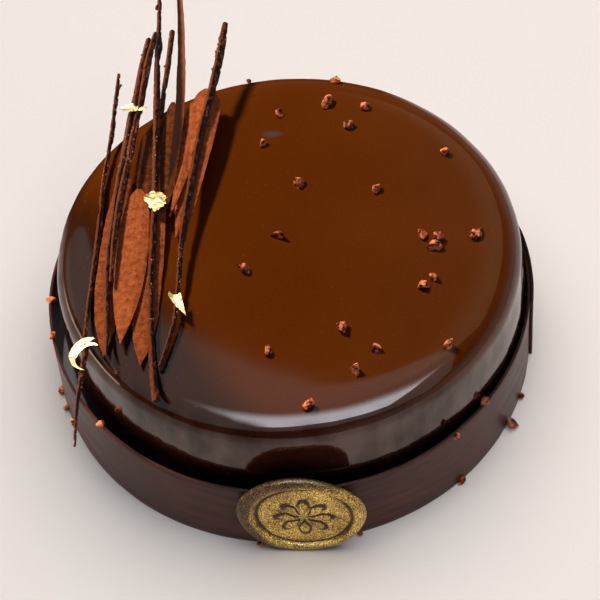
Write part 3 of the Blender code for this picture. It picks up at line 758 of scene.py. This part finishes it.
BLADE = ((-38.8, 23.2, 66.2), (-32.5, 61.9, 68.4), (-30.3, 114.8, 70.6), 4.0, 0.2)
TWIGS = {
    "twig_1": (
        ((-54.3, 81.0, 0.9), (-55.8, 68.7, 1.3), (-58.1, 50.2, 1.4), (-61.2, 32.2, 1.2), (-63.0, 14.5, 1.6),
         (-65.2, -2.7, 1.5), (-67.6, -19.5, 1.3), (-69.5, -34.3, 1.2), (-69.3, -38.8, 1.6),
         (-70.9, -49.6, 1.4), (-73.0, -63.7, 1.0), (-73.9, -78.0, 0.7)),
        (62.0, 59.8),
    ),
    "twig_2": (
        ((-42.4, 89.7, 1.6), (-44.7, 80.1, 1.9), (-46.5, 71.1, 2.0), (-48.9, 58.5, 2.3), (-50.4, 53.3, 2.2),
         (-53.6, 35.8, 2.1), (-55.7, 26.9, 1.7), (-58.3, 10.4, 1.5), (-60.7, -6.2, 1.6),
         (-61.4, -19.3, 1.8), (-61.9, -34.6, 1.4), (-62.5, -44.5, 1.0)),
        (69.4, 62.3),
    ),
    "twig_3": (
        ((-39.7, 90.8, 1.3), (-42.7, 79.4, 1.8), (-44.6, 69.4, 1.8), (-46.9, 56.9, 1.7), (-50.1, 42.9, 1.8),
         (-51.7, 34.2, 1.8), (-55.4, 17.3, 1.6), (-58.0, 0.6, 1.4), (-59.8, -16.7, 1.0)),
        (71.0, 65.4),
    ),
    "twig_4": (
        ((-37.2, 115.7, 1.4), (-38.3, 99.2, 1.3), (-38.8, 91.6, 1.6), (-39.1, 85.5, 2.2), (-39.8, 80.4, 1.7),
         (-40.9, 61.9, 2.0), (-42.0, 43.9, 1.9), (-43.4, 22.0, 1.9), (-45.0, 2.1, 1.8), (-46.8, -17.7, 1.6),
         (-47.5, -40.0, 1.7), (-47.4, -55.8, 2.1), (-47.0, -64.0, 2.1)),
        (70.0, 60.8),
    ),
    "twig_5": (
        ((-34.0, 95.5, 1.2), (-36.2, 80.0, 1.2), (-38.5, 66.2, 1.1), (-39.9, 55.3, 1.0)),
        (66.4, 64.8),
    ),
    "twig_6": (
        ((-14.6, 89.9, 1.6), (-16.5, 80.5, 2.6), (-19.2, 68.7, 2.8), (-21.5, 59.7, 2.5), (-26.1, 43.6, 2.2),
         (-29.7, 27.0, 2.2), (-33.2, 10.6, 2.2), (-35.9, -4.3, 1.8), (-37.5, -19.0, 1.5),
         (-39.8, -33.8, 1.4), (-43.9, -46.8, 1.4), (-45.3, -50.5, 1.2)),
        (73.6, 61.0),
    ),
}


def blade_share(along):
    """The width of the blade, which narrows slowly towards its far end."""
    return max((1 - (1 - along) ** 6) * (1 - 0.52 * along**2.2), 0.1)


def smooth_run(points, steps):
    """Points along a smooth curve through all the given ones."""
    ends = [points[0]] + list(points) + [points[-1]]
    run = []
    for i in range(1, len(ends) - 2):
        before, start, end, after = ends[i - 1 : i + 3]
        for step in range(steps):
            t = step / steps
            run.append(
                0.5 * (2 * start + (end - before) * t + (2 * before - 5 * start + 4 * end - after) * t * t
                       + (3 * start - before - 3 * end + after) * t**3)
            )
    return run + [points[-1]]


def rod_section(name, seed):
    """The rods' cross-section: a square with worn corners, flat where the rod lay on the slab."""
    section = bpy.data.curves.new(name, "CURVE")
    section.dimensions = "2D"
    spline = section.splines.new("POLY")
    spline.points.add(19)
    for index, point in enumerate(spline.points):
        turn = math.tau * index / 20 + 0.25 * math.sin(seed)
        reach = (abs(math.cos(turn)) ** 4.5 + abs(math.sin(turn)) ** 4.5) ** (-1 / 4.5)
        reach *= 0.00052 * (1 + 0.06 * math.sin(3 * turn + seed))
        point.co = (reach * math.cos(turn + 0.6), reach * math.sin(turn + 0.6), 0, 1)
    spline.use_cyclic_u = True
    made = bpy.data.objects.new(name, section)
    bpy.context.scene.collection.objects.link(made)
    return made


def piped_rod(name, run, heights, fullness, seed):
    """A rod along the run, whose thickness wanders, with flat sides and blunt, broken ends."""
    far, length = run[0][:2], math.dist(run[0][:2], run[-1][:2])
    points = [
        Vector((x, y, heights[0] + (heights[1] - heights[0]) * math.dist(far, (x, y)) / length, thickness))
        for x, y, thickness in run
    ]
    path = smooth_run(points, int(420 / len(points)))
    section = rod_section(name + "_section", seed)
    curve = bpy.data.curves.new(name, "CURVE")
    curve.dimensions = "3D"
    curve.twist_mode = "Z_UP"
    curve.bevel_mode = "OBJECT"
    curve.bevel_object = section
    curve.use_fill_caps = True
    spline = curve.splines.new("POLY")
    spline.points.add(len(path) - 1)
    for index, (point, spot) in enumerate(zip(spline.points, path)):
        end = min(index, len(path) - 1 - index) / (len(path) - 1) * length
        point.co = (spot.x * 0.001, spot.y * 0.001, spot.z * 0.001, 1)
        point.radius = spot.w * fullness * (0.97 + 0.06 * noise.noise(Vector((spot.y * 0.16, seed, 0))))
        point.radius *= 0.80 + 0.20 * min(end / 0.8, 1)
    rod = bpy.data.objects.new(name, curve)
    bpy.context.scene.collection.objects.link(rod)
    pick(rod)
    bpy.ops.object.convert(target="MESH")
    rod = bpy.context.object
    bpy.data.objects.remove(section)
    bpy.ops.object.mode_set(mode="EDIT")
    bpy.ops.mesh.select_all(action="SELECT")
    bpy.ops.mesh.remove_doubles(threshold=1e-6)
    bpy.ops.mesh.normals_make_consistent(inside=False)
    bpy.ops.object.mode_set(mode="OBJECT")
    return rod


# How deep the chips of a rod are, and how high its fine grain stands.
CHIP_DEPTH, GRAIN_HEIGHT = 0.00030, 0.00006


def chip_and_roughen(rod, seed):
    """Breaks sharp chips out of the rod and roughens it, by moving its points along their normals."""
    moves = []
    for vert in rod.data.vertices:
        spot = vert.co + Vector((0, 0, seed * 0.01))
        bite = min(max(noise.noise(spot * 720) - 0.27, 0) * 12, 1)
        wide = min(max(noise.noise(Vector((spot.x, spot.y * 0.6, spot.z)) * 300) - 0.40, 0) * 12, 1)
        grain = noise.noise(spot * 1700) * GRAIN_HEIGHT
        moves.append(vert.normal * (grain - max(bite, wide * 1.2) * CHIP_DEPTH))
    for vert, move in zip(rod.data.vertices, moves):
        vert.co += move


# Splinters, flakes and blobs that cling to the rods: where each is, and its size, in millimetres.
CLINGING = {
    "twig_1": (
        (-54.9, 73.2, 61.9, 1.1), (-54.5, 73.9, 62.0, 1.0), (-54.1, 74.6, 62.1, 1.0),
        (-53.7, 75.3, 62.2, 1.1), (-69.2, -39.6, 60.4, 2.1), (-71.0, -49.3, 60.4, 1.9),
        (-70.6, -51.0, 60.4, 2.2), (-71.6, -53.3, 60.3, 1.8), (-71.0, -55.3, 60.4, 1.6),
    ),
    "twig_2": ((-45.0, 82.4, 69.2, 1.3), (-50.5, 56.4, 67.7, 1.8), (-50.6, 54.9, 67.8, 1.5)),
    "twig_3": ((-42.7, 77.0, 70.4, 1.3), (-44.0, 71.5, 70.2, 1.4)),
    "twig_4": ((-38.9, 85.2, 68.5, 2.5), (-38.4, 104.8, 69.6, 2.1)),
    "twig_5": ((-37.4, 78.8, 65.8, 1.2),),
    "twig_6": (
        (-16.8, 83.4, 72.8, 1.8), (-17.2, 80.7, 72.6, 1.8), (-20.0, 69.4, 71.8, 1.7),
        (-17.3, 73.3, 72.0, 1.5), (-29.3, 33.9, 68.5, 2.1), (-18.4, 77.2, 72.4, 1.6),
    ),
}
# How much fuller each rod is than its solid, and how far back and how high the splinters may reach.
FULLNESS = {"twig_1": 1.12, "twig_2": 1.05, "twig_3": 1.22, "twig_4": 1.08, "twig_5": 1.45, "twig_6": 1.0}
TWIGS_FAR_END, TWIGS_TOP = 0.11574, 0.07425

piped_chocolate, tree, shader = new_finish("piped_chocolate", 0.5)
shader.inputs["Specular IOR Level"].default_value = 0.10
place = add_node(tree, "TexCoord", {})["Object"]
blotch = mottling(tree, place, 420, 5)
softer = worked_out(tree, "MULTIPLY_ADD", blotch, 0.5, 0.28)
# Faces turned to the left and up are painted lighter and faces turned away darker, as painted light and
# shade.
painted_light_side = add_node(
    tree, "VectorMath", {1: (-0.93, 0.0, 0.37), 0: add_node(tree, "TexCoord", {})["Normal"]},
    operation="DOT_PRODUCT"
)
# This tone is painted light and shade by facing, laid over the random blotches.
worn = worked_out(tree, "MULTIPLY_ADD", painted_light_side["Value"], 0.22, softer)
tone = colour_ramp(tree, worn, (0.47, (0.013, 0.0030, 0.0014)), (0.70, (0.19, 0.046, 0.013)))
grains = add_node(tree, "TexVoronoi", {"Scale": 750, "Vector": place})
sugar = graded(tree, grains["Distance"], 0.22, 0.14, ease="LINEAR")
spread = mottling(tree, place, 42)
strewn = graded(tree, spread, 0.50, 0.56, ease="LINEAR")
sugared = worked_out(tree, "MULTIPLY", sugar, strewn)
dotted = laid_over(tree, sugared, tone, (0.55, 0.34, 0.25, 1))
tree.links.new(dotted, shader.inputs["Base Color"])
relief = add_node(tree, "Bump", {"Strength": 0.35, "Distance": 0.0002, "Height": blotch})
tree.links.new(relief["Normal"], shader.inputs["Normal"])

dice = random.Random(23)
rods = []
for index, (node_name, (run, heights)) in enumerate(TWIGS.items()):
    rod = piped_rod(node_name.replace("_", "_rod_"), run, heights, FULLNESS[node_name], index * 3.7)
    chip_and_roughen(rod, index)
    bits = [
        cracked_nib(Vector((x, y, z)) * 0.001, size * 0.001, dice)
        for x, y, z, size in CLINGING[node_name]
    ]
    rod = join_up([rod] + bits, rod.name)
    for vert in rod.data.vertices:
        vert.co.y = min(vert.co.y, TWIGS_FAR_END)
        vert.co.z = min(vert.co.z, TWIGS_TOP)
    smooth(rod, 32)
    rod.data.materials.append(piped_chocolate)
    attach(rod, "root")
    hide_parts(node_name)
    rods.append(rod)
light_only(fill, [table_top] + rods, "EXCLUDE")

blade_finish, tree, shader = new_finish("blade_chocolate", 0.46)
shader.inputs["Specular IOR Level"].default_value = 0.14
own = add_node(tree, "UVMap", {})
sides = add_node(tree, "SeparateXYZ", {"Vector": own["UV"]})
place = add_node(tree, "TexCoord", {})["Object"]
wander = mottling(tree, place, 260, 4)
# Across the blade the colour runs from a pale lit edge to a dark one, as painted light and shade; it also
# grows darker towards the near end.
painted_light_across = worked_out(tree, "MULTIPLY_ADD", wander, 0.35, sides["Y"])
near_end = graded(tree, sides["X"], 0.66, 0.30, high=0.45, ease="LINEAR")
darkening = worked_out(tree, "ADD", painted_light_across, near_end)
tone = colour_ramp(
    tree, darkening, (0.42, (0.33, 0.105, 0.055)), (0.64, (0.11, 0.026, 0.010)),
    (0.82, (0.030, 0.007, 0.003))
)
tree.links.new(tone, shader.inputs["Base Color"])
blade = drawn_leaf("long_blade", BLADE, blade_share, 0.0006, (220, 14), 0.16)
blade.data.materials.append(blade_finish)
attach(blade, "root")
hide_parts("blade")


# The gold leaf: scraps of beaten gold, lifted with a brush and dropped on the twigs, where they crumple.

# Middle, size, turn and curl of each scrap, and how far its torn edge reaches in sixteen directions.
GOLD_LEAVES = {
    "gold_leaf_1": (
        (-49.2, 56.0, 70.6), (8.6, 3.4), 8, 0,
        (1.05, 0.72, 0.55, 0.62, 0.95, 0.86, 1.15, 0.95, 1.0, 0.95, 0.70, 0.98, 1.25, 0.95, 1.15, 0.80),
    ),
    "gold_leaf_2": (
        (-43.2, 16.2, 66.9), (8.4, 7.4), -70, 0,
        (1.12, 0.97, 0.89, 0.91, 0.97, 0.90, 0.97, 1.0, 1.05, 1.05, 1.08, 1.0, 1.0, 1.0, 1.10, 1.28),
    ),
    "gold_leaf_3": (
        (-38.1, -27.5, 64.8), (9.4, 3.8), -62, 0,
        (1.10, 0.85, 0.76, 0.82, 0.95, 1.45, 0.92, 0.62, 1.15, 1.02, 0.92, 0.80, 0.72, 0.66, 0.70, 0.80),
    ),
    "gold_leaf_4": (
        (-73.2, -42.6, 61.6), (17.5, 2.6), 76, -150,
        (0.82, 1.10, 1.45, 1.60, 1.20, 0.85, 0.72, 0.80, 1.02, 0.62, 0.52, 0.62, 0.90, 1.40, 1.60, 1.15),
    ),
}


def folded(spot, slopes):
    """The height of a sheet made of flat facets that meet in sharp folds."""
    return max(spot.x * across + spot.y * along + level for across, along, level in slopes)


def crumpled_scrap(name, centre, size, degrees, curl, edge, seed):
    """A torn scrap: a grid drawn out to its edge, folded into flat facets and given a thin wall."""
    length, width = size[0] * 0.001, size[1] * 0.001
    turn = Euler((0, 0, math.radians(degrees))).to_matrix()
    dice = random.Random(40 + seed)
    slopes = [
        [(dice.uniform(-0.8, 0.8), dice.uniform(-0.8, 0.8), dice.uniform(-0.0006, 0.0006)) for _ in range(7)]
        for _ in range(2)
    ]
    clear_selection()
    bpy.ops.mesh.primitive_grid_add(x_subdivisions=60, y_subdivisions=60, size=2, location=(0, 0, 0))
    scrap = bpy.context.object
    scrap.name = name
    places = []
    for vert in scrap.data.vertices:
        reach = max(abs(vert.co.x), abs(vert.co.y))
        around = math.atan2(vert.co.y, vert.co.x) % math.tau
        step, between = divmod(around / math.tau * 16, 1)
        torn = edge[int(step) % 16] * (1 - between) + edge[int(step + 1) % 16] * between
        torn *= 1 + 0.16 * noise.noise(Vector((math.cos(around) * 3.5, math.sin(around) * 3.5, seed)))
        torn *= 1 + 0.14 * noise.noise(Vector((math.cos(around) * 11, math.sin(around) * 11, seed)))
        spread = reach * torn * math.cos(around) * length / 2
        across = reach * torn * math.sin(around) * width / 2
        spot = Vector((spread, across, 0))
        lift = folded(spot, slopes[0]) - folded(spot, slopes[1])
        lift += 0.00012 * noise.noise(spot * 900 + Vector((0, 0, seed)))
        if curl:
            bend = math.radians(curl) * spread / length
            radius = length / math.radians(curl)
            inner = radius - across
            spot = Vector((math.sin(bend) * inner, radius - math.cos(bend) * inner, 0))
        places.append((turn @ spot, lift))
    middle = sum(lift for _, lift in places) / len(places)
    most = max(abs(lift - middle) for _, lift in places)
    for vert, (spot, lift) in zip(scrap.data.vertices, places):
        spot.z = (lift - middle) * min(0.0012 / most, 1)
        vert.co = spot + Vector(centre) * 0.001
    wall = scrap.modifiers.new("wall", "SOLIDIFY")
    wall.thickness = 0.00006
    wall.offset = 0
    finish_modifiers(scrap)
    smooth(scrap, 14)
    return scrap


beaten_gold, tree, shader = new_finish("beaten_gold", 0.34, 1.0)
place = add_node(tree, "TexCoord", {})["Object"]
tarnish = mottling(tree, place, 500)
tone = colour_ramp(tree, tarnish, (0.35, (1.0, 0.50, 0.13)), (0.65, (1.0, 0.80, 0.44)))
tree.links.new(tone, shader.inputs["Base Color"])
gilded = []
for seed, (node_name, shape) in enumerate(GOLD_LEAVES.items()):
    scrap = crumpled_scrap(node_name.replace("gold_leaf", "gold_scrap"), *shape, seed * 5.3)
    scrap.data.materials.append(beaten_gold)
    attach(scrap, "root")
    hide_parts(node_name)
    gilded.append(scrap)

# The gold gets its gleam from two more small lights, which nothing else shows.
glint = hang_light("seal_glint", (-0.45, -0.55, 0.85), (0, 0, 0.02), (0.30, 0.30), 9.2, (1.0, 0.95, 0.86))
light_only(glint, [seal])
gleam = hang_light("leaf_gleam", (-0.10, 0.62, 1.05), (-0.05, 0, 0.06), (0.9, 0.6), 12, (1.0, 0.98, 0.95))
light_only(gleam, gilded)
